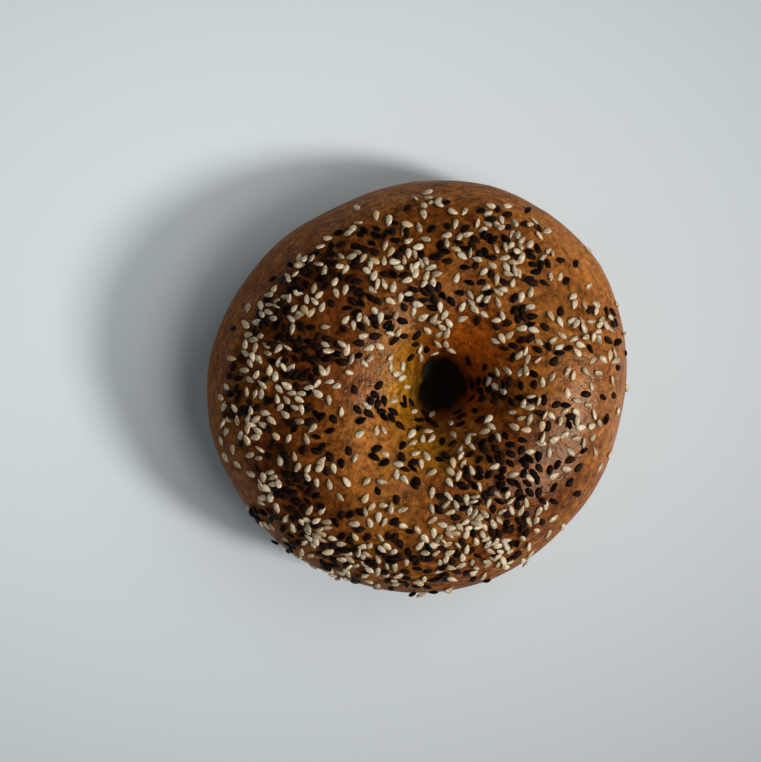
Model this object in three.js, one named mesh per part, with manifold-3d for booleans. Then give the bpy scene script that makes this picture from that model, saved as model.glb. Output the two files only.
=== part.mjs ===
// A seeded bagel: one baked ring of dough with a small hole, lying on its flat side.
// Black and white sesame seeds are stuck to its top and are part of the same solid.
// Millimetres, +Z up. The origin is under the middle of the ring, on the surface it lies on.
// Angles are in degrees, anticlockwise from +X.
import * as THREE from "three";
import { mergeVertices } from "three/addons/utils/BufferGeometryUtils.js";
import Module from "manifold-3d";

const { cos, sin, hypot, exp, PI } = Math;
const { degToRad } = THREE.MathUtils;

// The ring of dough.
const OUTLINE_RADIUS = 54.5;
const HEIGHT = 38;
const HOLE_RADIUS = 6.2;
const HOLE_X = 6.2;
const HOLE_Y = 0.3;
const BELLY_HEIGHT = 16.5; // where the ring is widest
const CREST_PLACE = 0.4; // where the ring is highest, from 0 at the hole to 1 at the outline
const SLUMP = 4.5; // how far the round dough would sink below the tray, had the tray not flattened it
const FOOT_BLEND = 3.2; // how softly the side turns into the flat foot

// Slow waves round the ring, so that it is as uneven as hand-rolled dough.
const OUTLINE_LOBES = [
  { count: 1, rise: 0.4, at: 0 },
  { count: 2, rise: 1.6, at: 35 },
  { count: 3, rise: 1.05, at: 57 },
  { count: 5, rise: 0.3, at: 31 },
];
const HOLE_LOBES = [
  { count: 2, rise: 0.5, at: 80 },
  { count: 3, rise: 0.6, at: 118 },
];
const CREST_LOBES = [
  { count: 1, rise: 0.9, at: 225 },
  { count: 2, rise: 0.5, at: 150 },
  { count: 3, rise: 0.4, at: 20 },
];
// Gentle swellings, as shares of the dough's thickness: waves round the ring by waves round the dough.
const SWELLINGS = [
  { round: 3, across: 2, share: 0.011, start: 40 },
  { round: 5, across: -1, share: 0.009, start: 120 },
  { round: 7, across: 3, share: 0.006, start: 230 },
  { round: 11, across: -2, share: 0.004, start: 70 },
];
const RING_STEPS = 56;
const SECTION_STEPS = 24;

// Sesame seeds: teardrops, thinner than wide, half sunk in the crust.
const SEED_LENGTH = 2.8;
const SEED_WIDTH = 1.62;
const SEED_THICKNESS = 0.9;
const SEED_TAPER = 0.28; // how much narrower the pointed end is
const SMALLEST_SEED = 0.87; // shares of the size of a middling seed
const SEED_SIZE_RANGE = 0.24;
const SEED_SIDES = 4;
const SEED_RINGS = 3;
const SEED_FULLNESS = 1.42; // makes up for the corners that so few sides cut off
const SEED_SINK = 0.1;
const SEED_COUNT = 230;
const SEED_SPACING = 4.5;
const SEED_TRIES = 60000;
const SEED_TILT = 9;
const RANDOM_START = 20240;

// The seeded cap: where the top was pressed into the seeds.
const CAP_RADIUS = 49.9;
const CAP_FADE = 1.4; // how gradually seeds thin out at its edge
const CAP_LOBES = [
  { count: 1, rise: 2.8, at: 290 },
  { count: 2, rise: 3.0, at: 42 },
  { count: 3, rise: 0.7, at: 35 },
];
const HOLE_MARGIN = 1.2; // from the hole's edge to the nearest seeds
const STEEPEST = 0.12; // how far up the steepest seeded spots face, from 0 for upright to 1 for flat
const PLAIN_COVER = 0.62;
const LEAST_COVER = 0.01; // for the stray seeds of a bare spot
const UPRIGHT_COVER = 0.35; // the share of its cover that an upright spot keeps
// Spots with more seeds (cover over 0) or fewer (under 0).
const PATCHES = [
  { x: 21, y: 33, spread: 8, cover: 0.45 },
  { x: -10, y: 30, spread: 8, cover: 0.3 },
  { x: -37, y: 12, spread: 8, cover: 0.4 },
  { x: -38, y: -5, spread: 8, cover: 0.35 },
  { x: -28, y: -39, spread: 9, cover: 0.4 },
  { x: -8, y: -45, spread: 8, cover: 0.35 },
  { x: 20, y: -23, spread: 9, cover: 0.55 },
  { x: 14, y: -38, spread: 9, cover: 0.4 },
  { x: 36, y: -3, spread: 7, cover: 0.2 },
  { x: 50, y: 17, spread: 5, cover: 0.3 },
  { x: -24, y: 7, spread: 6, cover: 0.5 },
  { x: -16, y: 36, spread: 4, cover: 0.5 },
  { x: 17, y: -32, spread: 5, cover: 0.3 },
  { x: -17, y: -25, spread: 6, cover: -0.75 },
  { x: -3, y: -28, spread: 6, cover: -0.35 },
  { x: -8, y: 0, spread: 7, cover: -0.45 },
  { x: 14, y: 10, spread: 6, cover: -0.7 },
  { x: 14, y: -8, spread: 5, cover: -0.4 },
  { x: 4, y: 42, spread: 3, cover: -0.6 },
  { x: 40, y: 31, spread: 8, cover: -0.4 },
  { x: 40, y: -30, spread: 7, cover: -0.4 },
  { x: 31, y: 22, spread: 4, cover: -0.5 },
  { x: -48, y: -25, spread: 6, cover: -0.5 },
  { x: -9, y: 46, spread: 5, cover: -0.5 },
  { x: 44, y: -16, spread: 7, cover: -0.35 },
  { x: 33, y: -17, spread: 4, cover: -0.3 },
  { x: -23, y: -13, spread: 5, cover: -0.3 },
];

// Repeatable random numbers from 0 to 1.
function randomNumbers(start) {
  let state = start >>> 0;
  return () => {
    state = (Math.imul(state, 1664525) + 1013904223) >>> 0;
    return state / 4294967296;
  };
}

function lobeSum(lobes, angle) {
  return lobes.reduce((sum, lobe) => sum + lobe.rise * cos(lobe.count * (angle - degToRad(lobe.at))), 0);
}

function swelling(around, section) {
  const waves = SWELLINGS.map(
    (wave) => wave.share * sin(wave.round * around + wave.across * section + degToRad(wave.start)),
  );
  return 1 + waves.reduce((sum, wave) => sum + wave, 0);
}

// Dough that would sink below the tray lies flat on it instead, with a soft edge.
function flattened(z) {
  if (z > FOOT_BLEND) return z;
  return z < -FOOT_BLEND ? 0 : (z + FOOT_BLEND) ** 2 / (4 * FOOT_BLEND);
}

// A point of the crust: around is the angle round the ring, and section the angle round the dough,
// which is 0 at the outline, PI / 2 on the crest and PI in the hole.
function crustPoint(around, section) {
  const outer = OUTLINE_RADIUS + lobeSum(OUTLINE_LOBES, around);
  const inner = HOLE_RADIUS + lobeSum(HOLE_LOBES, around);
  const outline = new THREE.Vector2(cos(around), sin(around)).multiplyScalar(outer);
  const edge = new THREE.Vector2(HOLE_X + inner * cos(around), HOLE_Y + inner * sin(around));
  const swell = swelling(around, section);
  const share = cos(section) * swell;
  const plan = edge.lerp(outline, CREST_PLACE + share * (share > 0 ? 1 - CREST_PLACE : CREST_PLACE));
  const crest = HEIGHT + lobeSum(CREST_LOBES, around);
  const reach = sin(section) > 0 ? crest - BELLY_HEIGHT : BELLY_HEIGHT + SLUMP;
  return new THREE.Vector3(plan.x, plan.y, flattened(BELLY_HEIGHT + reach * sin(section) * swell));
}

// The crust's outward normal, its length being the area that a step of both angles covers.
function crustNormal(around, section) {
  const step = 1e-3;
  const roundward = crustPoint(around + step, section).sub(crustPoint(around - step, section));
  const sectionward = crustPoint(around, section + step).sub(crustPoint(around, section - step));
  return roundward.cross(sectionward).divideScalar(4 * step * step);
}

function bagelCrust() {
  const ring = new THREE.TorusGeometry(1, 0.5, SECTION_STEPS, RING_STEPS);
  const places = ring.getAttribute("position");
  const unit = new THREE.Vector3();
  for (let i = 0; i < places.count; i++) {
    unit.fromBufferAttribute(places, i);
    const around = Math.atan2(unit.y, unit.x);
    const section = Math.atan2(unit.z, hypot(unit.x, unit.y) - 1);
    places.setXYZ(i, ...crustPoint(around, section));
  }
  return ring;
}

// The share of a spot that seeds cover, from 0 to 1.
function seedCover(point, normal) {
  const capEdge = CAP_RADIUS + lobeSum(CAP_LOBES, Math.atan2(point.y, point.x));
  const fromHole = hypot(point.x - HOLE_X, point.y - HOLE_Y) - HOLE_RADIUS;
  if (fromHole < HOLE_MARGIN || normal.z < STEEPEST) return 0;
  const inCap = 1 / (1 + exp((hypot(point.x, point.y) - capEdge) / CAP_FADE));
  const patches = PATCHES.map(
    (patch) => patch.cover * exp(-((hypot(point.x - patch.x, point.y - patch.y) / patch.spread) ** 2)),
  );
  const facingUp = UPRIGHT_COVER + (1 - UPRIGHT_COVER) * Math.max(normal.z, 0);
  const covered = patches.reduce((sum, cover) => sum + cover, PLAIN_COVER);
  return inCap * facingUp * Math.max(covered, LEAST_COVER);
}

// Seeds at random spots of the crust, by how much of the spot they cover, none too near another.
function seedPlaces() {
  const random = randomNumbers(RANDOM_START);
  const largestStep = OUTLINE_RADIUS * HEIGHT;
  const seeds = [];
  for (let tries = 0; tries < SEED_TRIES && seeds.length < SEED_COUNT; tries++) {
    const around = 2 * PI * random();
    const section = PI * random();
    const chance = random();
    const turn = 2 * PI * random();
    const tilt = random();
    const size = random();
    const point = crustPoint(around, section);
    const normal = crustNormal(around, section);
    const area = normal.length() / largestStep;
    normal.normalize();
    if (chance > area * seedCover(point, normal)) continue;
    if (seeds.some((seed) => seed.point.distanceTo(point) < SEED_SPACING)) continue;
    seeds.push({ point, normal, turn, tilt, size });
  }
  return seeds;
}

// A seed along X: round at one end, pointed at the other.
function seedGeometry() {
  const seed = new THREE.SphereGeometry(0.5, SEED_SIDES, SEED_RINGS).rotateY(PI / SEED_SIDES).rotateZ(PI / 2);
  const places = seed.getAttribute("position");
  for (let i = 0; i < places.count; i++) {
    const along = places.getX(i);
    const girth = SEED_FULLNESS * (1 - SEED_TAPER * 2 * along);
    places.setXYZ(
      i,
      along * SEED_LENGTH,
      places.getY(i) * SEED_WIDTH * girth,
      places.getZ(i) * SEED_THICKNESS * girth,
    );
  }
  return seed;
}

function placedSeed(seed) {
  const lean = degToRad(SEED_TILT) * (2 * seed.tilt - 1);
  const upright = new THREE.Quaternion().setFromUnitVectors(new THREE.Vector3(0, 0, 1), seed.normal);
  const turned = new THREE.Quaternion().setFromEuler(new THREE.Euler(0, lean, seed.turn, "ZYX"));
  const scale = new THREE.Vector3().setScalar(SMALLEST_SEED + SEED_SIZE_RANGE * seed.size);
  const middle = seed.point.clone().addScaledVector(seed.normal, -SEED_SINK);
  const place = new THREE.Matrix4().compose(middle, upright.multiply(turned), scale);
  return seedGeometry().applyMatrix4(place);
}

const wasm = await Module();
wasm.setup();

function solidOf(geometry) {
  const bare = geometry.clone().deleteAttribute("normal").deleteAttribute("uv");
  const merged = mergeVertices(bare, 1e-4);
  const mesh = new wasm.Mesh({
    numProp: 3,
    vertProperties: merged.getAttribute("position").array,
    triVerts: new Uint32Array(merged.index.array),
  });
  return new wasm.Manifold(mesh);
}

function geometryOf(solid) {
  const { vertProperties, triVerts } = solid.getMesh();
  const geometry = new THREE.BufferGeometry();
  geometry.setAttribute("position", new THREE.BufferAttribute(vertProperties, 3));
  geometry.setIndex(new THREE.BufferAttribute(triVerts, 1));
  geometry.computeVertexNormals();
  return geometry;
}

function bagel() {
  const seeded = seedPlaces().reduce(
    (whole, seed) => whole.add(solidOf(placedSeed(seed))),
    solidOf(bagelCrust()),
  );
  const crust = new THREE.MeshStandardMaterial({ color: 0x8a5326, roughness: 0.45, metalness: 0 });
  const mesh = new THREE.Mesh(geometryOf(seeded), crust);
  mesh.name = "bagel";
  return mesh;
}

const group = new THREE.Group();
group.add(bagel());

export default group;
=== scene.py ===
# %% [markdown]
# # A seeded bagel
#
# A bagel is a fat ring of dough that is boiled, pressed into sesame seeds and baked. This lesson dresses a
# plain solid of it in three pieces: the crust, the white seeds and the black seeds. The solid is loaded
# first, as a fixed frame.

from math import cos, pi, radians, sin
from types import SimpleNamespace

import bpy
import numpy as np
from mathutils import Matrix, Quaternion, Vector


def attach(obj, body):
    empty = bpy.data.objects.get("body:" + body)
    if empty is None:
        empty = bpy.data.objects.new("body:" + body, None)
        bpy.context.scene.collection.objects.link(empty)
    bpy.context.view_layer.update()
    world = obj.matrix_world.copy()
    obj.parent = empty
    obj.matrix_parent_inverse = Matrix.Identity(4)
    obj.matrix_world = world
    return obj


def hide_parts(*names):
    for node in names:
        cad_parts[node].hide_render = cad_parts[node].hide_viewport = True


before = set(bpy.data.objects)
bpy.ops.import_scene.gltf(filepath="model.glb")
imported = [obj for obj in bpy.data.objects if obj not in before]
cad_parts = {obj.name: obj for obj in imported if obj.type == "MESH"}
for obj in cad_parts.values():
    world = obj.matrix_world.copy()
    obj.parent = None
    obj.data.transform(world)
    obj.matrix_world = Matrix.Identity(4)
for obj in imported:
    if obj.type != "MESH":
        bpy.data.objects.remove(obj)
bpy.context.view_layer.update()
MM = 0.001
print("solid nodes:", len(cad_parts))

# %% [markdown]
# ## Formulas in node trees
#
# The crust's shape is one formula, and it is needed twice: Geometry Nodes make the crust with it, and plain
# Python asks it where each seed lies. A `Field` is one number of a node tree that can be added and
# multiplied like any other, so the same formula works on both. Written as loose nodes it would be a hundred
# lines that could drift away from the Python copy.


# %% Nodes and fields
def plug(tree, value, socket):
    """Links a field or a node's socket to a socket, or sets a plain value on it."""
    source = value.socket if isinstance(value, Field) else value
    if isinstance(source, bpy.types.NodeSocket):
        tree.links.new(source, socket)
    else:
        socket.default_value = source


def add_node(tree, kind, inputs=None, **settings):
    """A node with its settings, and with its inputs by name or by number."""
    node = tree.nodes.new(kind)
    for name, value in settings.items():
        setattr(node, name, value)
    for place, value in (inputs or {}).items():
        plug(tree, value, node.inputs[place])
    return node


class Field:
    """One number of a node tree, to write formulas with."""

    def __init__(self, tree, socket):
        self.tree = tree
        self.socket = socket

    def math(self, operation, *others, clamp=False):
        inputs = dict(enumerate((self, *others)))
        node = add_node(self.tree, "ShaderNodeMath", inputs, operation=operation, use_clamp=clamp)
        return Field(self.tree, node.outputs[0])

    def __add__(self, other):
        return self.math("ADD", other)

    def __sub__(self, other):
        return self.math("SUBTRACT", other)

    def __mul__(self, other):
        return self.math("MULTIPLY", other)

    def __truediv__(self, other):
        return self.math("DIVIDE", other)

    def __pow__(self, other):
        return self.math("POWER", other)

    def __rsub__(self, other):
        return self.math("MULTIPLY_ADD", -1.0, other)

    __radd__ = __add__
    __rmul__ = __mul__


# %% Formulas for fields and for arrays
def either(operation, plain):
    """A function of one or two numbers that takes fields, as nodes, or arrays, as numpy."""

    def apply(first, *others):
        return first.math(operation, *others) if isinstance(first, Field) else plain(first, *others)

    return apply


sine = either("SINE", np.sin)
cosine = either("COSINE", np.cos)
at_least = either("MAXIMUM", np.maximum)
at_most = either("MINIMUM", np.minimum)

# %% [markdown]
# ## The shape of the dough
#
# A ring rolled by hand is never round: it has slow waves in its outline, its hole and its crest, and gentle
# swellings all over. A sculpted mesh could show that, but a formula says it in a few named sizes. Two
# angles name a point of the crust: `around` goes round the ring, and `section` goes round the dough, from
# the outline over the crest into the hole and back underneath. The tray flattened the foot. All of it is in
# millimetres.

# %% The ring of dough
OUTLINE_RADIUS = 54.5
HEIGHT = 38.0
HOLE_RADIUS = 6.2
HOLE_X, HOLE_Y = 6.2, 0.3
BELLY_HEIGHT = 16.5
CREST_PLACE = 0.4  # where the ring is highest, from 0 at the hole to 1 at the outline
SLUMP = 4.5  # how far below the tray the dough would hang without it
FOOT_BLEND = 3.2
# Slow waves round the ring: how many, how high, and the angle where they are highest.
OUTLINE_LOBES = [(1, 0.4, 0), (2, 1.6, 35), (3, 1.05, 57), (5, 0.3, 31)]
HOLE_LOBES = [(2, 0.5, 80), (3, 0.6, 118)]
CREST_LOBES = [(1, 0.9, 225), (2, 0.5, 150), (3, 0.4, 20)]
# Gentle swellings: waves round the ring, waves round the dough, share of its thickness, start.
SWELLINGS = [(3, 2, 0.011, 40), (5, -1, 0.009, 120), (7, 3, 0.006, 230), (11, -2, 0.004, 70)]


def lobe_sum(lobes, angle):
    return sum(cosine((angle - radians(at)) * count) * rise for count, rise, at in lobes)


def swelling(around, section):
    waves = (
        sine(around * ring + section * dough + radians(start)) * share
        for ring, dough, share, start in SWELLINGS
    )
    return sum(waves) + 1


def flattened(z):
    """Dough that would sink below the tray lies flat on it instead, with a soft edge."""
    soft = at_most(at_least(z + FOOT_BLEND, 0.0), 2 * FOOT_BLEND)
    return soft * soft / (4 * FOOT_BLEND) + at_least(z - FOOT_BLEND, 0.0)


def crust_point(around, section):
    """A point of the crust, as its x, y and z in millimetres."""
    outer = lobe_sum(OUTLINE_LOBES, around) + OUTLINE_RADIUS
    inner = lobe_sum(HOLE_LOBES, around) + HOLE_RADIUS
    swell = swelling(around, section)
    share = cosine(section) * swell
    outward = at_least(share, 0.0) * (1 - CREST_PLACE) + at_most(share, 0.0) * CREST_PLACE + CREST_PLACE
    x = cosine(around) * (inner + (outer - inner) * outward) + (1 - outward) * HOLE_X
    y = sine(around) * (inner + (outer - inner) * outward) + (1 - outward) * HOLE_Y
    crest = lobe_sum(CREST_LOBES, around) + HEIGHT
    up = at_least(sine(section), 0.0) * (crest - BELLY_HEIGHT)
    down = at_most(sine(section), 0.0) * (BELLY_HEIGHT + SLUMP)
    return x, y, flattened((up + down) * swell + BELLY_HEIGHT)


once_round = np.linspace(0, 2 * pi, 73)
crest_heights = crust_point(once_round, np.full_like(once_round, pi / 2))[2]
print("crest from", crest_heights.min().round(1), "to", crest_heights.max().round(1), "mm high")

# %% [markdown]
# ## Making the crust with Geometry Nodes
#
# The tree takes a flat grid, whose two directions are the two angles, rolls it into the ring with the
# formula, and closes the two seams by merging them. More of the grid's rows go to the top, which is looked
# at most.
#
# Then come the marks of the oven, as real relief: the skin's slow unevenness, the fine wrinkles on the
# slope left of the hole, where it shrank most as it cooled, and the small blisters from the boiling. They
# could all be bump in the material, but relief of a tenth or two of a millimetre is then in the mesh as
# well.


# %% Small helpers for Geometry Nodes
def new_tree(name, inputs):
    """A Geometry Nodes tree, and its inputs as fields. They are given as name: (socket type, value)."""
    tree = bpy.data.node_groups.new(name, "GeometryNodeTree")
    tree.interface.new_socket("Geometry", in_out="OUTPUT", socket_type="NodeSocketGeometry")
    tree.interface.new_socket("Geometry", in_out="INPUT", socket_type="NodeSocketGeometry")
    for label, (kind, value) in inputs.items():
        socket = tree.interface.new_socket(label, in_out="INPUT", socket_type="NodeSocket" + kind)
        if value is not None:
            socket.default_value = value
    entry = tree.nodes.new("NodeGroupInput")
    return tree, {socket.name: Field(tree, socket) for socket in entry.outputs if socket.name}


def split(tree, vector):
    node = add_node(tree, "ShaderNodeSeparateXYZ", {0: vector})
    return [Field(tree, output) for output in node.outputs]


def vector_of(tree, x, y, z):
    return add_node(tree, "ShaderNodeCombineXYZ", {0: x, 1: y, 2: z}).outputs[0]


def scaled(tree, vector, factor):
    inputs = {"Vector": vector, "Scale": factor}
    return add_node(tree, "ShaderNodeVectorMath", inputs, operation="SCALE").outputs[0]


# %% Noise, limits and places
def noise(tree, vector, scale=1.0, detail=2.0, roughness=0.5, w=None):
    """Noise around 0, from about -1 to 1."""
    inputs = {"Vector": vector, "Scale": scale, "Detail": detail, "Roughness": roughness}
    if w is not None:
        inputs["W"] = w
    dimensions = "3D" if w is None else "4D"
    node = add_node(tree, "ShaderNodeTexNoise", inputs, noise_dimensions=dimensions, normalize=False)
    return Field(tree, node.outputs[0])


def between(value, low, high):
    return at_most(at_least(value, low), high)


def near(tree, spot, x, y, wide, high=None):
    """1 at a place seen from above, fading to 0 over about twice its spread, which may differ both ways."""
    east, north, _ = split(tree, spot)
    across, along = (east - x) / wide, (north - y) / (high or wide)
    return (across * across + along * along).math("MULTIPLY", -1.0).math("EXPONENT")


# %% Attributes, and how every tree ends
def stored(tree, geometry, name, value, kind="FLOAT"):
    inputs = {"Geometry": geometry, "Name": name, "Value": value}
    node = add_node(tree, "GeometryNodeStoreNamedAttribute", inputs, data_type=kind, domain="POINT")
    return node.outputs[0]


def attribute(tree, name, kind="FLOAT"):
    node = add_node(tree, "GeometryNodeInputNamedAttribute", {"Name": name}, data_type=kind)
    return node.outputs[0]


def ended(tree, geometry, material):
    """The end of every tree: real meshes instead of instances, and a material."""
    realized = add_node(tree, "GeometryNodeRealizeInstances", {0: geometry})
    dressed = add_node(tree, "GeometryNodeSetMaterial", {0: realized.outputs[0], "Material": material})
    add_node(tree, "NodeGroupOutput", {0: dressed.outputs[0]})
    return tree


# %% From a tree to a finished mesh
def made_by(tree, name, base, inputs):
    """The finished mesh that a tree makes of a base mesh, with the modifier gone from it."""
    worker = bpy.data.objects.new(name + "_worker", base)
    bpy.context.scene.collection.objects.link(worker)
    modifier = worker.modifiers.new(tree.name, "NODES")
    modifier.node_group = tree
    for socket in tree.interface.items_tree:
        if socket.in_out == "INPUT" and socket.name in inputs:
            modifier[socket.identifier] = inputs[socket.name]
    evaluated = worker.evaluated_get(bpy.context.evaluated_depsgraph_get())
    mesh = bpy.data.meshes.new_from_object(evaluated)
    mesh.name = name
    bpy.data.objects.remove(worker)
    material = mesh.materials[-1]
    mesh.materials.clear()
    mesh.materials.append(material)
    mesh.polygons.foreach_set("material_index", np.zeros(len(mesh.polygons), dtype=np.int32))
    piece = bpy.data.objects.new(name, mesh)
    bpy.context.scene.collection.objects.link(piece)
    mesh.shade_smooth()
    triangles = sum(len(polygon.vertices) - 2 for polygon in mesh.polygons)
    print(name, "has", triangles, "triangles, finished as", material.name)
    return piece


# %% The ring, rolled from a grid
CLOSER_ON_TOP = 0.3
SEAM = 1e-6  # metres between points that are merged


def rolled_ring(tree, given):
    """A flat grid rolled into the ring, with both seams closed. It keeps its two angles as directions."""
    sides = {
        "Size X": 2 * pi,
        "Size Y": 2 * pi,
        "Vertices X": given["Steps round the ring"] + 1,
        "Vertices Y": given["Steps round the dough"] + 1,
    }
    grid = add_node(tree, "GeometryNodeMeshGrid", sides)
    around, row, _ = split(tree, tree.nodes.new("GeometryNodeInputPosition").outputs[0])
    section = row + cosine(row) * CLOSER_ON_TOP
    # Both ways are stored before the points move, while the grid's own places still are the two angles.
    ring_way = vector_of(tree, cosine(around), sine(around), 0.0)
    dough_way = vector_of(tree, cosine(section), sine(section), 0.0)
    flat = stored(tree, grid.outputs["Mesh"], "ring_way", ring_way, "FLOAT_VECTOR")
    flat = stored(tree, flat, "dough_way", dough_way, "FLOAT_VECTOR")
    place = scaled(tree, vector_of(tree, *crust_point(around, section)), MM)
    ring = add_node(tree, "GeometryNodeSetPosition", {"Geometry": flat, "Position": place})
    closed = add_node(tree, "GeometryNodeMergeByDistance", {"Geometry": ring.outputs[0], "Distance": SEAM})
    return closed.outputs[0]


# %% The marks of the oven
SLOW_SCALE = 0.07
WRINKLED_PLACE = (-9.0, 0.0, 9.0, 20.0)  # the slope that shrank enough: its x, y, width and height
WRINKLES_ALONG, WRINKLES_ACROSS = 4.0, 12.0
GROOVE_NARROWNESS = 4.5
PATCH_SCALE, PATCH_CONTRAST, PATCH_MIDDLE = 0.09, 1.6, 0.5
BLISTER_SCALE, SMALLEST_BLISTER, BLISTER_SPREAD = 0.42, 0.02, 0.45
CLEAR_OF_TRAY = 2.5  # how high the marks have their full height: where the dough lay, it is smooth


def wrinkled(tree, spot):
    """How wrinkled the skin is at a spot, from 0 to 1."""
    return near(tree, spot, *WRINKLED_PLACE)


def oven_marks(tree, given):
    """How far the skin stands out of the smooth ring, in millimetres."""
    spot = scaled(tree, tree.nodes.new("GeometryNodeInputPosition").outputs[0], 1 / MM)
    slow = noise(tree, spot, scale=SLOW_SCALE)
    ring_x, ring_y, _ = split(tree, attribute(tree, "ring_way", "FLOAT_VECTOR"))
    dough_x, dough_y, _ = split(tree, attribute(tree, "dough_way", "FLOAT_VECTOR"))
    way = vector_of(tree, ring_x * WRINKLES_ALONG, ring_y * WRINKLES_ALONG, dough_x * WRINKLES_ACROSS)
    folds = noise(tree, way, detail=3.0, roughness=0.6, w=dough_y * WRINKLES_ACROSS)
    groove = 1 - at_most(folds.math("ABSOLUTE") * GROOVE_NARROWNESS, 1.0)
    patches = noise(tree, spot, scale=PATCH_SCALE) * PATCH_CONTRAST + PATCH_MIDDLE
    patchy = between(patches, 0.0, 1.0) * wrinkled(tree, spot)
    cells = add_node(tree, "ShaderNodeTexVoronoi", {"Vector": spot, "Scale": BLISTER_SCALE}, feature="F1")
    reach = split(tree, cells.outputs["Color"])[0] * BLISTER_SPREAD + SMALLEST_BLISTER
    dome = at_least(1 - Field(tree, cells.outputs["Distance"]) / reach, 0.0)
    height = split(tree, spot)[2]
    off_the_tray = between(height / CLEAR_OF_TRAY, 0.0, 1.0)
    marks = slow * given["Slow unevenness"] - groove * groove * patchy * given["Wrinkle depth"]
    return (marks + dome * dome * given["Blister height"]) * off_the_tray


# %% The tree that makes the crust
def crust_tree():
    tree, given = new_tree(
        "Bagel crust",
        {
            "Steps round the ring": ("Int", 452),
            "Steps round the dough": ("Int", 212),
            "Slow unevenness": ("Float", 0.2),
            "Wrinkle depth": ("Float", 0.14),
            "Blister height": ("Float", 0.12),
            "Material": ("Material", None),
        },
    )
    ring = rolled_ring(tree, given)
    outward = tree.nodes.new("GeometryNodeInputNormal").outputs[0]
    relief = scaled(tree, outward, oven_marks(tree, given) * MM)
    skin = add_node(tree, "GeometryNodeSetPosition", {"Geometry": ring, "Offset": relief})
    return ended(tree, skin.outputs[0], given["Material"])


# %% [markdown]
# ## The crust's finish
#
# Baked crust is brown because its sugars browned, and no two square centimetres browned alike: amber where
# the skin is thin, red-brown where it baked hardest, and a mustard yellow in the hollow, where the oven's
# heat came last. The finish is a few colours that noise of different sizes mixes. Places with a colour of
# their own are named in millimetres, and count only on the upper side: the foot lay on the tray and
# browned evenly. Some of them are painted light: the tan ones are painted sheen, the red-brown ones on the
# left are partly painted shade, and the deep red ones on the shaded wall of the hole are partly painted
# bounce light. The wall of the hole is painted almost black low down, as painted shade where hardly any
# light comes.
#
# Starch from the boiling glazed the skin, so it is glossy, with a warm tint because the thin glaze is brown
# itself. Tiny bubbles in the glaze break the gloss into dots. The rim dried most, so it is streaky and has
# hardly any gloss, but for one place where the glaze kept its sheen. One plain brown with a bump would be
# quicker, but a crust of one colour looks like plastic.


# %% Small helpers for materials
MIX_COLOURS, MIX_RESULT = (6, 7), 2  # the Mix node's sockets for two colours and their mix


def new_material(name):
    material = bpy.data.materials.new(name)
    material.use_nodes = True
    tree = material.node_tree
    return material, tree, tree.nodes["Principled BSDF"]


def mixed(tree, factor, first, second):
    """A mix of two colours, each given as three numbers or as a socket."""
    node = add_node(tree, "ShaderNodeMix", {"Factor": factor}, data_type="RGBA")
    for place, value in zip(MIX_COLOURS, (first, second)):
        plug(tree, (*value, 1.0) if isinstance(value, tuple) else value, node.inputs[place])
    return node.outputs[MIX_RESULT]


def ramp(value, low, high):
    """0 where a value is at low, 1 where it is at high, and straight between."""
    return between((value - low) / (high - low), 0.0, 1.0)


def bumped(tree, shader, height):
    """Gives a shader bump from a height in millimetres."""
    bump = add_node(tree, "ShaderNodeBump", {"Height": height * MM, "Distance": 1.0, "Strength": 1.0})
    tree.links.new(bump.outputs[0], shader.inputs["Normal"])


# %% [markdown]
# The skin has marks of many sizes: blotches of a centimetre, mottles and grain of one to three millimetres,
# fine folds and streaks drawn out along the ring, bubbles, and pores. Each finish could have noise of its
# own, but on real crust a pale bubble is also a raised one, and its paler top here is partly a painted
# glint. So the marks are made once, and colour, gloss and relief each take their shares of them.

# %% Noise drawn out along the ring
FINE_ALONG, FINE_ACROSS = 12.0, 19.0
STREAK_ALONG, STREAK_ACROSS = 19.0, 36.0
NARROWING = 0.4  # fewer of them go round near the hole, so that they don't get much shorter there


def along_the_ring(tree, along, across):
    """Noise drawn out along the ring, and the dough's own directions at a spot: outward and upward."""
    ring = add_node(tree, "ShaderNodeAttribute", attribute_name="ring_way").outputs["Vector"]
    dough = add_node(tree, "ShaderNodeAttribute", attribute_name="dough_way").outputs["Vector"]
    ring_x, ring_y, _ = split(tree, ring)
    dough_x, dough_y, _ = split(tree, dough)
    along = (dough_x * NARROWING + (1 - NARROWING)) * along
    way = vector_of(tree, ring_x * along, ring_y * along, dough_x * across)
    return noise(tree, way, roughness=0.55, w=dough_y * across), dough_x, dough_y


# %% The marks and zones of the skin
BLOTCH_SCALE, MOTTLE_SCALE, GRAIN_SCALE, PORE_SCALE, WAVE_SCALE = 0.07, 0.4, 0.85, 2.4, 0.4
BUBBLE_SCALE, BUBBLE_SHARPNESS, FLAT_BUBBLES = 0.85, 2.4, 0.2
SMOOTH_RIM = 0.6  # how much of the mottle the rim loses
# Where zones begin and are full, outward from -1 in the hole to 1 at the outline ...
RIM, EDGE, SHOULDER = (0.72, 0.96), (0.62, 0.92), (0.70, 0.90)
# ... upward from -1 underneath to 1 on the crest ...
ABOVE, SHOULDER_UP = (-0.25, 0.15), (0.05, 0.40)
# ... and across the bagel, in millimetres, to the side away from the window, which is in shade.
SHADED_SIDE, SHADED_SIDE_SLANT = (15.0, -15.0), 0.35


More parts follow.
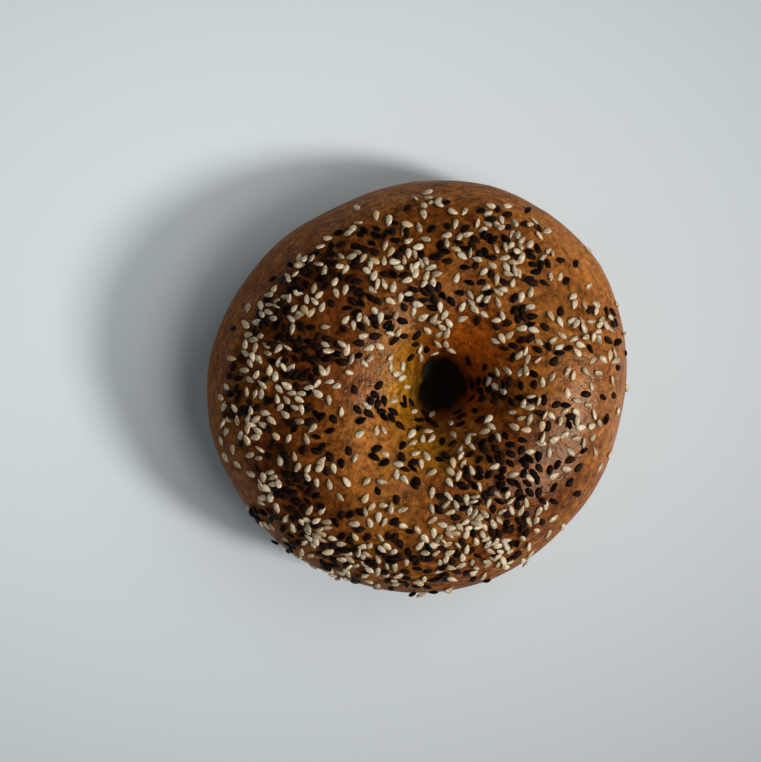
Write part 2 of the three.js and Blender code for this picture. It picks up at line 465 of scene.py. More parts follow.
def skin_of(tree):
    """The skin's marks and its zones, as fields."""
    spot = scaled(tree, tree.nodes.new("ShaderNodeTexCoord").outputs["Object"], 1 / MM)
    folds, outward, upward = along_the_ring(tree, FINE_ALONG, FINE_ACROSS)
    streaks, _, _ = along_the_ring(tree, STREAK_ALONG, STREAK_ACROSS)
    east, north, level = split(tree, spot)
    rim = ramp(outward, *RIM)
    shoulder = ramp(outward, *SHOULDER) * ramp(upward, *SHOULDER_UP)
    cells = add_node(tree, "ShaderNodeTexVoronoi", {"Vector": spot, "Scale": BUBBLE_SCALE}, feature="F1")
    dome = at_least(1 - Field(tree, cells.outputs["Distance"]) * BUBBLE_SHARPNESS, 0.0)
    return SimpleNamespace(
        spot=spot,
        level=level,
        upward=upward,
        rim=rim,
        shoulder=shoulder,
        edge=ramp(outward, *EDGE),
        above=ramp(upward, *ABOVE),
        back=ramp(east + north * SHADED_SIDE_SLANT, *SHADED_SIDE),
        blotch=noise(tree, spot, scale=BLOTCH_SCALE),
        mottle=noise(tree, spot, scale=MOTTLE_SCALE) * (1 - rim * SMOOTH_RIM),
        grain=noise(tree, spot, scale=GRAIN_SCALE),
        pores=noise(tree, spot, scale=PORE_SCALE, roughness=0.6),
        waves=noise(tree, spot, scale=WAVE_SCALE, detail=0.0),
        folds=folds * wrinkled(tree, spot),
        streaks=streaks,
        lines=streaks * shoulder,
        bubbles=dome * dome * ramp(split(tree, cells.outputs["Color"])[0], FLAT_BUBBLES, 1.0),
    )


def weighed(skin, shares):
    """The sum of some of the skin's marks, each with its share."""
    return sum(getattr(skin, mark) * share for mark, share in shares.items())


# %% [markdown]
# The colour starts as a mix of red-brown, amber and golden, by the marks. Over it go the places with a
# colour of their own, the rim, with painted sheen in tan on the lit side and painted shade in russet on the
# side away from the window, the painted shade at the front, the pale streaks, which are partly painted
# sheen, and the wall of the hole, painted dark as painted shade. A painted map could place them exactly,
# but it would need an image, and would stretch over the ring.

# %% The colours of the crust, and its places
RED_BROWN = (0.095, 0.019, 0.003)
AMBER = (0.185, 0.050, 0.005)
DEEP_RED_AND_PAINTED_BOUNCE = (0.430, 0.078, 0.001)
GOLDEN = (0.335, 0.115, 0.014)
MUSTARD = (0.320, 0.126, 0.003)
DARK_HONEY = (0.075, 0.034, 0.003)
TAN_PAINTED_SHEEN = (0.445, 0.150, 0.027)
PALE_TAN_STREAKS_AND_SHEEN = (0.520, 0.235, 0.058)
RUSSET_PAINTED_SHADE = (0.300, 0.080, 0.005)
# Places with a colour of their own: colour, x, y, width, height, strength. The tan ones are painted sheen,
# the red-brown ones on the left are partly painted shade, and the deep red ones are the wall's red, partly
# brightened as painted bounce light.
PLACES = [
    (RED_BROWN, -34.0, -15.0, 10.0, 12.0, 0.8),
    (RED_BROWN, -25.0, -33.0, 12.0, 9.0, 0.7),
    (RED_BROWN, -32.0, 26.0, 13.0, 14.0, 0.8),
    (RED_BROWN, -27.0, 6.0, 10.0, 16.0, 0.85),
    (RED_BROWN, -15.0, 26.0, 14.0, 9.0, 0.6),
    (AMBER, 3.0, 42.0, 20.0, 7.0, 0.6),
    (AMBER, 0.0, 16.0, 7.0, 6.0, 0.6),
    (AMBER, -12.0, 9.0, 7.0, 8.0, 0.5),
    (AMBER, 14.0, 31.0, 9.0, 7.0, 0.6),
    (AMBER, 35.0, -1.0, 9.0, 7.0, 0.65),
    (AMBER, 10.0, -36.0, 9.0, 7.0, 0.5),
    (RED_BROWN, 23.0, -37.0, 9.0, 7.0, 0.5),
    (TAN_PAINTED_SHEEN, 46.0, 30.0, 12.0, 16.0, 0.5),
    (TAN_PAINTED_SHEEN, 50.0, -6.0, 7.0, 15.0, 0.2),
    (TAN_PAINTED_SHEEN, 36.0, 38.0, 10.0, 9.0, 0.45),
    (RED_BROWN, 36.0, -27.0, 9.0, 11.0, 0.5),
    (GOLDEN, 33.0, 12.0, 8.0, 10.0, 0.5),
    (GOLDEN, 24.0, 23.0, 8.0, 6.0, 0.5),
    (TAN_PAINTED_SHEEN, -12.0, -16.0, 6.0, 10.0, 0.85),
    (TAN_PAINTED_SHEEN, -7.0, -20.0, 7.0, 7.0, 0.6),
    (GOLDEN, -7.0, -35.0, 10.0, 8.0, 0.6),
    (DEEP_RED_AND_PAINTED_BOUNCE, 14.5, 8.5, 9.5, 8.0, 0.9),
    (RED_BROWN, 21.0, -9.0, 8.0, 7.0, 0.4),
    (DEEP_RED_AND_PAINTED_BOUNCE, 14.0, -2.0, 5.0, 7.0, 0.8),
    (MUSTARD, -4.5, 0.0, 5.2, 13.0, 0.9),
    (MUSTARD, 3.0, -16.0, 8.0, 5.0, 0.75),
    (DARK_HONEY, -0.6, 0.5, 2.6, 8.0, 0.75),
]
# Among these places are painted sheen, painted shade and painted bounce light.
print(len(PLACES), "places browned in their own way")

# %% The colour of the crust
IN_SHADE = {"blotch": 0.6, "mottle": 0.5, "grain": 0.2}
AMBER_SHADES, GOLDEN_SHADES = (-0.6, 0.15), (0.1, 0.9)
# The bubbles' share makes their tops paler, partly as painted glints.
IN_LIGHTNESS_AND_GLINTS = {"mottle": 0.46, "grain": 0.42, "folds": 0.36, "bubbles": 1.0, "lines": 0.28}
PLAIN_LIGHTNESS = 0.86
# The rim's colour: painted sheen in tan, and painted shade in russet on the side in shade.
RIM_SHEEN_AND_SHADE_SHARE, SHADED_SIDE_SHARE = 0.3, 0.3
# Painted shade: the front of the rim is painted darker.
FRONT_PAINTED_SHADE, FRONT_PAINTED_SHADE_SHARE = (9.0, -52.0, 24.0, 8.0), 0.6
# The pale streaks are partly the crust's own streaks and partly painted sheen.
STREAK_TONES = (0.05, 0.45)
STREAKS_ON_RIM, STREAKS_ON_SHOULDER, STREAKS_ANYWHERE = 0.22, 0.12, 0.04
# Painted shade: the wall of the hole is painted almost black low down, where hardly any light comes.
HOLE_PAINTED_SHADE = (0.004, 0.0015, 0.0006)
HOLE_SHADE_PLACE = (HOLE_X - 0.8, HOLE_Y - 1.2, 9.5)
HOLE_SHADE_LEVELS, HOLE_SHADE_FACING = (9.0, 27.0), (-0.9, -0.4)


def browned(tree, skin):
    """The colour of the crust."""
    shade = weighed(skin, IN_SHADE)
    colour = mixed(tree, ramp(shade, *AMBER_SHADES), RED_BROWN, AMBER)
    colour = mixed(tree, ramp(shade, *GOLDEN_SHADES), colour, GOLDEN)
    for own, x, y, wide, high, strength in PLACES:
        colour = mixed(tree, near(tree, skin.spot, x, y, wide, high) * skin.above * strength, colour, own)
    # Painted sheen in tan on the lit side of the rim, painted shade in russet on the side in shade.
    rim_sheen_and_shade = mixed(tree, skin.back, TAN_PAINTED_SHEEN, RUSSET_PAINTED_SHADE)
    colour = mixed(tree, skin.rim * RIM_SHEEN_AND_SHADE_SHARE + skin.edge * skin.back * SHADED_SIDE_SHARE, colour, rim_sheen_and_shade)
    # Painted shade at the front of the rim.
    front_shade = near(tree, skin.spot, *FRONT_PAINTED_SHADE) * skin.above
    colour = mixed(tree, front_shade * FRONT_PAINTED_SHADE_SHARE, colour, RED_BROWN)
    # Pale streaks, partly painted sheen.
    streaky = skin.rim * skin.above * STREAKS_ON_RIM + skin.shoulder * STREAKS_ON_SHOULDER
    streaky = ramp(skin.streaks, *STREAK_TONES) * (streaky + STREAKS_ANYWHERE)
    colour = mixed(tree, streaky, colour, PALE_TAN_STREAKS_AND_SHEEN)
    # Painted shade low down in the hole.
    hole_shade = (1 - ramp(skin.level, *HOLE_SHADE_LEVELS)) * ramp(skin.upward, *HOLE_SHADE_FACING)
    colour = mixed(tree, near(tree, skin.spot, *HOLE_SHADE_PLACE) * hole_shade, colour, HOLE_PAINTED_SHADE)
    return scaled(tree, colour, weighed(skin, IN_LIGHTNESS_AND_GLINTS) + PLAIN_LIGHTNESS)


# %% [markdown]
# Gloss and relief follow. Noise makes the skin a little rougher here and smoother there, so that a
# highlight breaks up. The relief here is bump, because pores and bubbles this small would take millions of
# faces.

# %% The crust's gloss and relief, and the crust
SMOOTHEST, ROUGHER_SPOTS, ROUGHER_RIM = 0.26, 0.1, 0.12
ROUGH_GRAIN, ROUGH_TONES = 0.6, (-0.8, 0.8)
GLAZE_TINT = (1.0, 0.70, 0.46, 1.0)
GLOSS, EDGE_LOSS = 0.36, 0.32
EVEN_GLOSS = 0.3  # one middle value, for a viewer that can't follow a gloss that changes
SHEEN_PLACE, SHEEN = (51.0, -5.0, 9.0, 14.0), 0.45
DULL_PLACE, DULL_LOSS = (-10.0, 9.0, 8.0, 9.0), 0.15
IN_RELIEF = {"pores": 0.025, "grain": 0.045, "waves": 0.07, "folds": 0.16, "bubbles": 0.17, "lines": 0.06}


def crust_material():
    material, tree, shader = new_material("baked crust")
    skin = skin_of(tree)
    tree.links.new(browned(tree, skin), shader.inputs["Base Color"])
    uneven = ramp(skin.mottle + skin.grain * ROUGH_GRAIN, *ROUGH_TONES)
    rough = uneven * ROUGHER_SPOTS + SMOOTHEST + skin.rim * ROUGHER_RIM
    tree.links.new(rough.socket, shader.inputs["Roughness"])
    shader.inputs["Specular Tint"].default_value = GLAZE_TINT
    shader.inputs["Specular IOR Level"].default_value = EVEN_GLOSS
    sheen = near(tree, skin.spot, *SHEEN_PLACE) * SHEEN
    dull = near(tree, skin.spot, *DULL_PLACE) * DULL_LOSS
    gloss = GLOSS - skin.edge * EDGE_LOSS + sheen - dull
    tree.links.new(gloss.socket, shader.inputs["Specular IOR Level"])
    bumped(tree, shader, weighed(skin, IN_RELIEF))
    return material


crust = made_by(crust_tree(), "crust", bpy.data.meshes.new("nothing"), {"Material": crust_material()})
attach(crust, "root")
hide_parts("bagel")

# %% [markdown]
# ## Where the seeds lie
#
# The wet ring is pressed into a tray of mixed sesame, so seeds cover the top and thin out down the sides.
# They stick in clusters, white or black ones together, and some lie on others. Random numbers with a fixed
# start make the same bagel each time. The first and widest-spaced seeds are those that are fused to the
# solid.

# %% Seeded spots and clusters
# Spots with more seeds or fewer: x, y, spread, change of cover.
PATCHES = [
    (21, 33, 8, 0.45), (-10, 30, 8, 0.3), (-37, 12, 8, 0.4), (-38, -5, 8, 0.35), (-28, -39, 9, 0.4),
    (-8, -45, 8, 0.35), (20, -23, 9, 0.55), (14, -38, 9, 0.4), (36, -3, 7, 0.2), (50, 17, 5, 0.3),
    (-24, 7, 6, 0.5), (-16, 36, 4, 0.5), (17, -32, 5, 0.3), (-17, -25, 6, -0.75), (-3, -28, 6, -0.35),
    (-8, 0, 7, -0.45), (14, 10, 6, -0.7), (14, -8, 5, -0.4), (4, 42, 3, -0.6), (40, 31, 8, -0.4),
    (40, -30, 7, -0.4), (31, 22, 4, -0.5), (-48, -25, 6, -0.5), (-9, 46, 5, -0.5), (44, -16, 7, -0.35),
    (33, -17, 4, -0.3), (-23, -13, 5, -0.3),
]
# Clusters of one kind: x, y, spread.
BLACK_SPOTS = [
    (-16, 37, 5), (-8, 39, 4), (-29, 27, 4), (-24, 29, 4), (-36, 18, 4), (-15, 23, 4), (-14, 17, 4),
    (-8, 16, 3), (-1, 32, 3), (1, 23, 4), (9, 37, 4), (19, 43, 4), (16, 29, 4), (16, 36, 3), (31, 29, 3),
    (25, 15, 5), (52, 18, 4), (50, 9, 2), (35, 9, 3), (19, -1, 4), (27, -5, 3), (-30, 7, 5), (-24, 9, 4),
    (-31, 13, 4), (-30, 1, 4), (-47, -6, 4), (-47, 2, 4), (-15, 9, 3), (-10, -5, 4), (1, -10, 3),
    (-26, -11, 5), (-22, -19, 3), (-35, -20, 4), (-32, -25, 4), (-41, -33, 4), (-36, -41, 4), (-31, -34, 5),
    (-23, -42, 4), (-13, -43, 5), (-2, -20, 3), (-3, -43, 4), (3, -50, 4), (9, -48, 3), (13, -18, 4),
    (21, -19, 6), (10, -26, 4), (18, -27, 6), (29, -24, 5), (25, -37, 5),
]
WHITE_SPOTS = [
    (4, 47, 4), (-8, 31, 5), (25, 38, 4), (21, 30, 4), (15, 24, 4), (-26, 23, 4), (-39, 20, 3),
    (-40, 8, 4), (-43, 0, 3), (-34, -3, 4), (-24, 3, 3), (-42, -12, 4), (-38, -24, 3), (-26, -37, 4),
    (-11, -32, 4), (-7, -45, 3), (-20, -46, 4), (4, -42, 3), (14, -33, 6), (20, -44, 5), (8, -38, 3),
    (32, -10, 4), (42, -9, 4), (44, 15, 4), (5, 17, 3),
]
print(len(PATCHES), "patches and", len(BLACK_SPOTS) + len(WHITE_SPOTS), "clusters of one kind")


# %% Random numbers
RANDOM_START, ROLL_START, TONE_START, KIND_START = 20240, 131, 77, 5
MULTIPLIER, INCREMENT, MODULUS = 1664525, 1013904223, 2**32
NUMBERS_A_TRY = 6
TRIES = 60000


def random_numbers(start, count):
    numbers = np.empty(count)
    state = start
    for i in range(count):
        state = (state * MULTIPLIER + INCREMENT) % MODULUS
        numbers[i] = state / MODULUS
    return numbers


draws = random_numbers(RANDOM_START, TRIES * NUMBERS_A_TRY).reshape(TRIES, NUMBERS_A_TRY)
print("numbers drawn:", draws.size)

# %% How much of the crust seeds cover
CAP_RADIUS, CAP_FADE = 49.9, 1.4
CAP_LOBES = [(1, 2.8, 290), (2, 3.0, 42), (3, 0.7, 35)]
HOLE_MARGIN = 1.2
STEEPEST = 0.12
PLAIN_COVER = 0.62
LEAST_COVER = 0.01  # for the stray seeds of a bare spot
NO_COVER = 1e-6  # in the hole and on steep sides, and above 0 because a chance is divided by it
UPRIGHT_COVER = 0.35  # the share of its cover that an upright spot keeps


def crust_normal(around, section):
    """The crust's outward normals, as long as the area that a step of both angles covers."""
    step = 1e-3
    roundward = np.subtract(crust_point(around + step, section), crust_point(around - step, section))
    sectionward = np.subtract(crust_point(around, section + step), crust_point(around, section - step))
    return np.cross(roundward.T, sectionward.T) / (4 * step * step)


def bells(places, spots):
    """The sum of soft round spots, each given as x, y and spread, at every place."""
    return sum(
        np.exp(-((places[:, 0] - x) ** 2 + (places[:, 1] - y) ** 2) / spread**2) for x, y, spread in spots
    )


def seed_cover(places, normals):
    """The share of each place that seeds cover."""
    from_middle = np.hypot(places[:, 0], places[:, 1])
    cap_edge = CAP_RADIUS + lobe_sum(CAP_LOBES, np.arctan2(places[:, 1], places[:, 0]))
    from_hole = np.hypot(places[:, 0] - HOLE_X, places[:, 1] - HOLE_Y) - HOLE_RADIUS
    in_cap = 1 / (1 + np.exp((from_middle - cap_edge) / CAP_FADE))
    patches = sum(change * bells(places, [spot]) for *spot, change in PATCHES)
    facing_up = UPRIGHT_COVER + (1 - UPRIGHT_COVER) * np.maximum(normals[:, 2], 0)
    cover = in_cap * facing_up * np.maximum(PLAIN_COVER + patches, LEAST_COVER)
    return np.where((from_hole < HOLE_MARGIN) | (normals[:, 2] < STEEPEST), NO_COVER, cover)


around, section = 2 * pi * draws[:, 0], pi * draws[:, 1]
places = np.stack(crust_point(around, section), axis=1)
normals = crust_normal(around, section)
area = np.linalg.norm(normals, axis=1) / (OUTLINE_RADIUS * HEIGHT)
normals /= np.linalg.norm(normals, axis=1)[:, None]
cover = seed_cover(places, normals)
print("seeded share of the tries:", round(float((draws[:, 2] < area * cover).mean()), 3))


# %% Picking the seeds' places
FUSED_COUNT, FUSED_SPACING = 230, 4.5
LOOSE_COUNT, LOOSE_SPACING = 590, 1.35
STACKED_COUNT, STACKED_SPACING = 350, 0.75
SPINE = np.array([-0.7, 0.0, 0.7])  # three spots along a seed, from its middle
PLAIN_CHANCE, CLUSTER_CHANCE = 0.36, 1.5  # of a loose seed, as a share of what the cover asks


def seed_spines():
    """Three points along the seed of every try, which keep seeds side by side closer than end to end."""
    turn = 2 * pi * draws[:, 3]
    flat = np.stack([np.cos(turn), np.sin(turn), np.zeros(TRIES)], axis=1)
    tipping = (normals * flat).sum(axis=1) / (1 + normals[:, 2])
    along = flat - tipping[:, None] * (normals + [0, 0, 1])
    return places[:, None, :] + along[:, None, :] * SPINE[:, None]


def pick(wanted, spots, first_try, count, spacing, picked):
    """Adds up to count wanted tries to picked, none with a spot nearer another's than the spacing."""
    goal = len(picked) + count
    i = first_try
    while i < TRIES and len(picked) < goal:
        if wanted[i]:
            apart = np.linalg.norm(spots[picked].reshape(-1, 1, 3) - spots[i], axis=2)
            if (apart >= spacing).all():
                picked.append(i)
        i += 1
    return i


clusters = bells(places, BLACK_SPOTS) + bells(places, WHITE_SPOTS)
chance = draws[:, 2] / area / cover
middles, spines = places[:, None, :], seed_spines()
picked = []
fused_end = pick(chance < 1, middles, 0, FUSED_COUNT, FUSED_SPACING, picked)
loose = chance < PLAIN_CHANCE + CLUSTER_CHANCE * clusters
loose_end = pick(loose, spines, fused_end, LOOSE_COUNT, LOOSE_SPACING, picked)
stacked_end = pick(chance < clusters, spines, loose_end, STACKED_COUNT, STACKED_SPACING, picked)
print("tries used:", fused_end, loose_end, stacked_end, "of", TRIES, "for", len(picked), "seeds")

# %% How each seed lies, and its kind
FUSED_TILT, LOOSE_TILT, STACKED_TILT = 9.0, 14.0, 28.0  # the most that they tilt end to end, in degrees
FUSED_ROLL, LOOSE_ROLL, STACKED_ROLL = 12.0, 48.0, 80.0  # the most that they roll on to a side, in degrees
BURIED, RESTING, STACKED = 0.1, 0.28, 0.7  # how high their middles are over the crust
BLACK_SHARE, CLUSTER_PULL = 0.39, 0.36
layer = np.repeat([0, 1, 2], [FUSED_COUNT, LOOSE_COUNT, len(picked) - FUSED_COUNT - LOOSE_COUNT])
leaning = radians(1) * np.choose(layer, [FUSED_TILT, LOOSE_TILT, STACKED_TILT]) * (2 * draws[picked, 4] - 1)
rolls = 2 * random_numbers(ROLL_START, len(picked)) - 1
# The cube keeps most seeds nearly flat.
rolling = radians(1) * np.choose(layer, [FUSED_ROLL, LOOSE_ROLL, STACKED_ROLL]) * rolls**3
lift = np.choose(layer, [BURIED, RESTING, STACKED])
tone = random_numbers(TONE_START, len(picked))
pull = bells(places[picked], BLACK_SPOTS) - bells(places[picked], WHITE_SPOTS)
is_black = random_numbers(KIND_START, len(picked)) < BLACK_SHARE + CLUSTER_PULL * pull
print("black seeds:", int(is_black.sum()), "white seeds:", int((~is_black).sum()))

# %% [markdown]
# ## The seeds
#
# A sesame seed is a flat teardrop, 3 mm long. One seed shape is made in the tree from a coarse sphere, laid
# on every point of a mesh that has only points, and turned as the point says. Each point is first moved on
# to the finished crust, so that no seed floats over a wrinkle. Instancing alone would be enough for a
# picture, but the instances are made real, and a slow noise then bends each seed a little, so that no two
# are alike.


# %% The tree that lays the seeds
SEED_SIDES, SEED_RINGS = 10, 7
BEND_SCALE = 0.7


def seed_tree():
    tree, given = new_tree(
        "Sesame seeds",
        {
            "Crust": ("Object", None),
            "Length": ("Float", 2.95),
            "Width": ("Float", 1.6),
            "Thickness": ("Float", 0.88),
            "Pointedness": ("Float", 0.3),
            "Unevenness": ("Float", 0.07),
            "Material": ("Material", None),
        },
    )
    faces = {"Segments": SEED_SIDES, "Rings": SEED_RINGS, "Radius": 1.0}
    sphere = add_node(tree, "GeometryNodeMeshUVSphere", faces)
    side, up, along = split(tree, tree.nodes.new("GeometryNodeInputPosition").outputs[0])
    shape = stored(tree, sphere.outputs["Mesh"], "along", along)
    girth = at_least(1 - along, 0.0) ** given["Pointedness"]
    half = MM / 2
    corner = vector_of(
        tree,
        along * given["Length"] * half,
        side * given["Width"] * girth * half,
        up * given["Thickness"] * girth * half,
    )
    seed = add_node(tree, "GeometryNodeSetPosition", {"Geometry": shape, "Position": corner})

    crust_mesh = add_node(tree, "GeometryNodeObjectInfo", {"Object": given["Crust"]}).outputs["Geometry"]
    nearest = add_node(tree, "GeometryNodeProximity", {0: crust_mesh}, target_element="FACES")
    away = scaled(tree, attribute(tree, "away", "FLOAT_VECTOR"), Field(tree, attribute(tree, "lift")) * MM)
    inputs = {"Geometry": given["Geometry"], "Position": nearest.outputs["Position"], "Offset": away}
    laid = add_node(tree, "GeometryNodeSetPosition", inputs)
    inputs = {
        "Points": laid.outputs[0],
        "Instance": seed.outputs[0],
        "Rotation": attribute(tree, "lie", "QUATERNION"),
        "Scale": attribute(tree, "stretch", "FLOAT_VECTOR"),
    }
    copies = add_node(tree, "GeometryNodeInstanceOnPoints", inputs)
    real = add_node(tree, "GeometryNodeRealizeInstances", {0: copies.outputs[0]})
    spot = scaled(tree, tree.nodes.new("GeometryNodeInputPosition").outputs[0], 1 / MM)
    bend = noise(tree, spot, scale=BEND_SCALE, detail=1.0) * given["Unevenness"] * MM
    outward = scaled(tree, tree.nodes.new("GeometryNodeInputNormal").outputs[0], bend)
    bent = add_node(tree, "GeometryNodeSetPosition", {"Geometry": real.outputs[0], "Offset": outward})
    return ended(tree, bent.outputs[0], given["Material"])


# %% The points that the seeds are laid on
SMALLEST, SIZE_SPREAD = 0.87, 0.24
SLIMMEST, SLIM_SPREAD = 0.9, 0.2


def seed_points(chosen):
    """A mesh of loose points, one for each chosen seed, with what the tree needs to know of it."""
    tries = np.array(picked)[chosen]
    mesh = bpy.data.meshes.new("seed points")
    mesh.from_pydata((places[tries] * MM).tolist(), [], [])
    lies = []
    for i, lean, roll in zip(tries, leaning[chosen], rolling[chosen]):
        upright = Vector((0, 0, 1)).rotation_difference(Vector(normals[i]))
        turned = Quaternion((0, 0, 1), 2 * pi * draws[i, 3]) @ Quaternion((0, 1, 0), lean)
        lies.append(upright @ turned @ Quaternion((1, 0, 0), roll))
    size = SMALLEST + SIZE_SPREAD * draws[tries, 5]
    slimmer = SLIMMEST + SLIM_SPREAD * tone[chosen]
    columns = {
        "lie": ("QUATERNION", "value", lies),
        "stretch": ("FLOAT_VECTOR", "vector", np.stack([size, size * slimmer, size], axis=1)),
        "away": ("FLOAT_VECTOR", "vector", normals[tries]),
        "lift": ("FLOAT", "value", lift[chosen]),
        "tone": ("FLOAT", "value", tone[chosen]),
    }
    for name, (kind, field, values) in columns.items():
        column = mesh.attributes.new(name, kind, "POINT")
        column.data.foreach_set(field, np.array(values, dtype=np.float32).ravel())
    return mesh


# %% [markdown]
# ## The seeds' finish
#
# White sesame has a satin ivory coat, a little browner at the pointed end, and here and there the oven
# toasted one. Black sesame is nearly black with a dull sheen. Two plain colours would do from far away, but
# near by, seeds all alike look like beads. So each seed's own `tone` says where in its range of colours it
# is.


# %% The white seeds' material
DULL_IVORY, PALE_IVORY = (0.33, 0.235, 0.13), (0.64, 0.505, 0.335)
BROWN_TIP, TIP_REACH, TIP_SHARE = (0.42, 0.27, 0.12), (0.45, 1.0), 0.5
TOASTED, TOASTED_TONES, TOASTED_SHARE = (0.48, 0.27, 0.10), (0.93, 0.99), 0.7
IVORY_GRAIN_SCALE, WHITE_PIT_SCALE, WHITE_PIT_DEPTH = 1.3, 4.0, 0.02


def own_tone(tree):
    return Field(tree, add_node(tree, "ShaderNodeAttribute", attribute_name="tone").outputs["Fac"])


def white_seed_material():
    material, tree, shader = new_material("white sesame coat")
    own = own_tone(tree)
    along = Field(tree, add_node(tree, "ShaderNodeAttribute", attribute_name="along").outputs["Fac"])
    spot = scaled(tree, tree.nodes.new("ShaderNodeTexCoord").outputs["Object"], 1 / MM)
    grain = noise(tree, spot, scale=IVORY_GRAIN_SCALE)
    ivory = mixed(tree, ramp(grain + own, 0.0, 1.0), DULL_IVORY, PALE_IVORY)
    tipped = mixed(tree, ramp(along, *TIP_REACH) * TIP_SHARE, ivory, BROWN_TIP)
    toasted = mixed(tree, ramp(own, *TOASTED_TONES) * TOASTED_SHARE, tipped, TOASTED)
    tree.links.new(toasted, shader.inputs["Base Color"])
    shader.inputs["Roughness"].default_value = 0.36
    bumped(tree, shader, noise(tree, spot, scale=WHITE_PIT_SCALE, detail=1.0) * WHITE_PIT_DEPTH)
    return material


# %% The black seeds' material
BLACK_COAT, BROWN_COAT, BROWN_TONES = (0.0050, 0.0024, 0.0016), (0.0170, 0.0072, 0.0034), (0.3, 1.0)
BLACK_PIT_SCALE, BLACK_PIT_DEPTH = 5.0, 0.04


def black_seed_material():
    material, tree, shader = new_material("black sesame coat")
    spot = scaled(tree, tree.nodes.new("ShaderNodeTexCoord").outputs["Object"], 1 / MM)
    black = mixed(tree, ramp(own_tone(tree), *BROWN_TONES), BLACK_COAT, BROWN_COAT)
    tree.links.new(black, shader.inputs["Base Color"])
    shader.inputs["Roughness"].default_value = 0.32
    shader.inputs["Specular IOR Level"].default_value = 0.045
    bumped(tree, shader, noise(tree, spot, scale=BLACK_PIT_SCALE) * BLACK_PIT_DEPTH)
    return material


# %% The seeds
laying = seed_tree()
# Each kind: its seeds, its coat, and its length, width and pointedness.
kinds = {
    "white_sesame": (~is_black, white_seed_material(), 2.92, 1.54, 0.31),
    "black_sesame": (is_black, black_seed_material(), 2.85, 1.72, 0.22),
}
for kind, (chosen, coat, length, width, pointedness) in kinds.items():
    inputs = {"Crust": crust, "Material": coat, "Length": length, "Width": width, "Pointedness": pointedness}
    seeds = made_by(laying, kind + "_seeds", seed_points(chosen), inputs)
    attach(seeds, "root")
    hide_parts("bagel")

# %% [markdown]
# ## Floor, light and camera
#
# The bagel lies on a plain pale floor, whose colour holds a painted pool of light: its grey darkens slowly
# away from the light, because distant lamps light it more evenly than a near window would. A window low on
# the right makes the long soft shadow. A wide lamp beside it and a weak sky fill the shadow, and they don't
# show in the gloss, which would turn grey and milky with them. The camera looks straight down, from above a
# point a little to the left of the bagel.

# %% The floor
FLOOR_HALF = 3.0  # metres, as the floor's level is
FLOOR_LEVEL = -0.00005  # a hair under the foot, so that the two never share a plane
FLOOR_COLOUR = (0.740, 0.780, 0.792)
PAINTED_LIGHT_PLACE = (-50.0, 26.0, 330.0, 235.0)  # where the floor's painted pool of light is palest: x, y, width and height
FAR_SHADE = 0.6  # how pale the floor's painted colour still is far away, as a share of its palest
corners = [(x * FLOOR_HALF, y * FLOOR_HALF, FLOOR_LEVEL) for x, y in ((-1, -1), (1, -1), (1, 1), (-1, 1))]
floor_mesh = bpy.data.meshes.new("floor")
floor_mesh.from_pydata(corners, [], [(0, 1, 2, 3)])
floor = bpy.data.objects.new("floor", floor_mesh)
bpy.context.scene.collection.objects.link(floor)
paper, paper_tree, paper_shader = new_material("pale floor")
floor_spot = scaled(paper_tree, paper_tree.nodes.new("ShaderNodeTexCoord").outputs["Object"], 1 / MM)
painted_pool = at_least(near(paper_tree, floor_spot, *PAINTED_LIGHT_PLACE), FAR_SHADE)
paper_tree.links.new(scaled(paper_tree, FLOOR_COLOUR, painted_pool), paper_shader.inputs["Base Color"])
paper_shader.inputs["Roughness"].default_value = 0.85
paper_shader.inputs["Specular IOR Level"].default_value = 0.2
floor_mesh.materials.append(paper)
print("floor:", round(2 * FLOOR_HALF, 1), "m wide")

# %% The lamps
FLOOR_LIGHT = 3.2  # watts a square metre, of all the light that falls on the floor
LAMP_DISTANCE = 6.0
# Each lamp: its bearing, angle above the floor and width, in degrees as seen from the bagel, its share of
# the light, and whether it shows in glossy surfaces.
LAMPS = {
    "window": (-18.5, 36.0, 11, 0.44, True),
    "wall beside the window": (28, 43.5, 49, 0.16, False),
    "top of the window": (-30, 57, 20, 0.16, True),
}


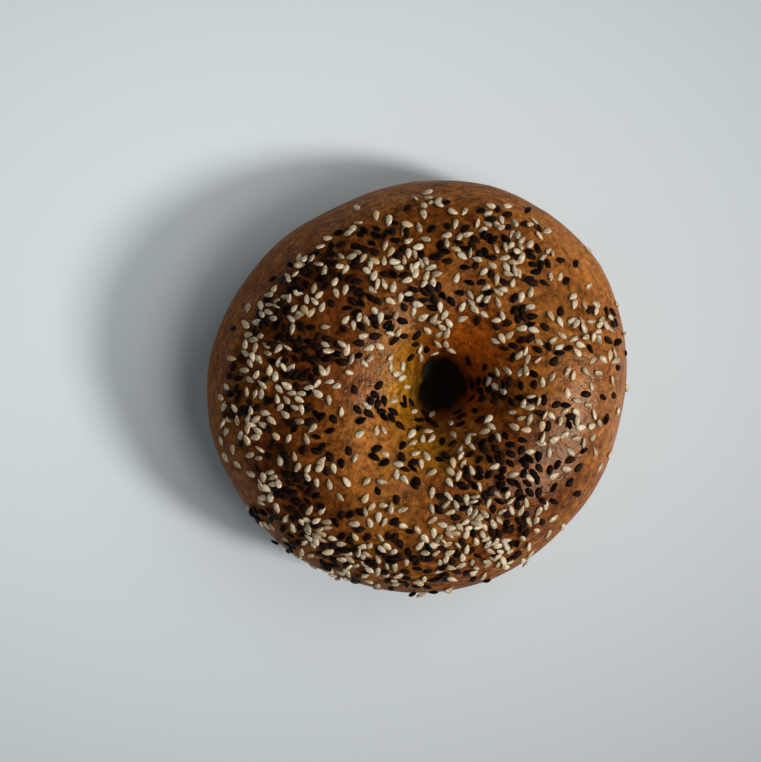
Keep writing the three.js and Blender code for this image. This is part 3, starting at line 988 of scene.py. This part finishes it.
def lamp(name, bearing, height_angle, width, share, mirrored):
    bearing, height_angle, width = radians(bearing), radians(height_angle), radians(width)
    flat = cos(height_angle)
    direction = Vector((cos(bearing) * flat, sin(bearing) * flat, sin(height_angle)))
    light = bpy.data.lights.new(name, "AREA")
    light.shape = "DISK"
    light.size = 2 * LAMP_DISTANCE * sin(width / 2)
    spread_out = 1 + sin(width / 2) ** 2
    light.energy = share * FLOOR_LIGHT * spread_out * pi * LAMP_DISTANCE**2 / sin(height_angle)
    holder = bpy.data.objects.new(name, light)
    holder.location = direction * LAMP_DISTANCE
    holder.rotation_euler = direction.to_track_quat("Z", "Y").to_euler()
    holder.visible_glossy = mirrored
    bpy.context.scene.collection.objects.link(holder)


for name, values in LAMPS.items():
    lamp(name, *values)
print(len(LAMPS), "lamps:", ", ".join(LAMPS))

# %% The sky
SKY_COLOUR, SKY_SHARE = (0.80, 0.93, 1.0), 0.25
CEILING = (0.75, 0.93)  # how steeply up a dark ceiling begins to hide the sky, and hides all of it
world = bpy.data.worlds.new("soft sky")
world.use_nodes = True
sky = world.node_tree
_, _, overhead = split(sky, sky.nodes.new("ShaderNodeTexCoord").outputs["Generated"])
open_sky = 1 - ramp(overhead, *CEILING)
sky.links.new(scaled(sky, SKY_COLOUR, open_sky), sky.nodes["Background"].inputs["Color"])
sky.nodes["Background"].inputs["Strength"].default_value = SKY_SHARE * FLOOR_LIGHT / pi
bpy.context.scene.world = world
world.cycles_visibility.glossy = False
bpy.context.scene.view_settings.view_transform = "Standard"
print("the sky's share of the light:", SKY_SHARE)

# %% The camera
CAMERA_X, CAMERA_Y, CAMERA_ABOVE_BELLY = -9.9, 1.3, 600.0
VIEW_WIDTH = 200.3  # how much it sees, at the height where the bagel is widest
SENSOR = 36.0
lens = bpy.data.cameras.new("camera")
lens.sensor_width = SENSOR
lens.lens = SENSOR * CAMERA_ABOVE_BELLY / VIEW_WIDTH
camera = bpy.data.objects.new("camera", lens)
camera.location = (CAMERA_X * MM, CAMERA_Y * MM, (CAMERA_ABOVE_BELLY + BELLY_HEIGHT) * MM)
bpy.context.scene.collection.objects.link(camera)
bpy.context.scene.camera = camera
print("lens:", round(lens.lens), "mm")
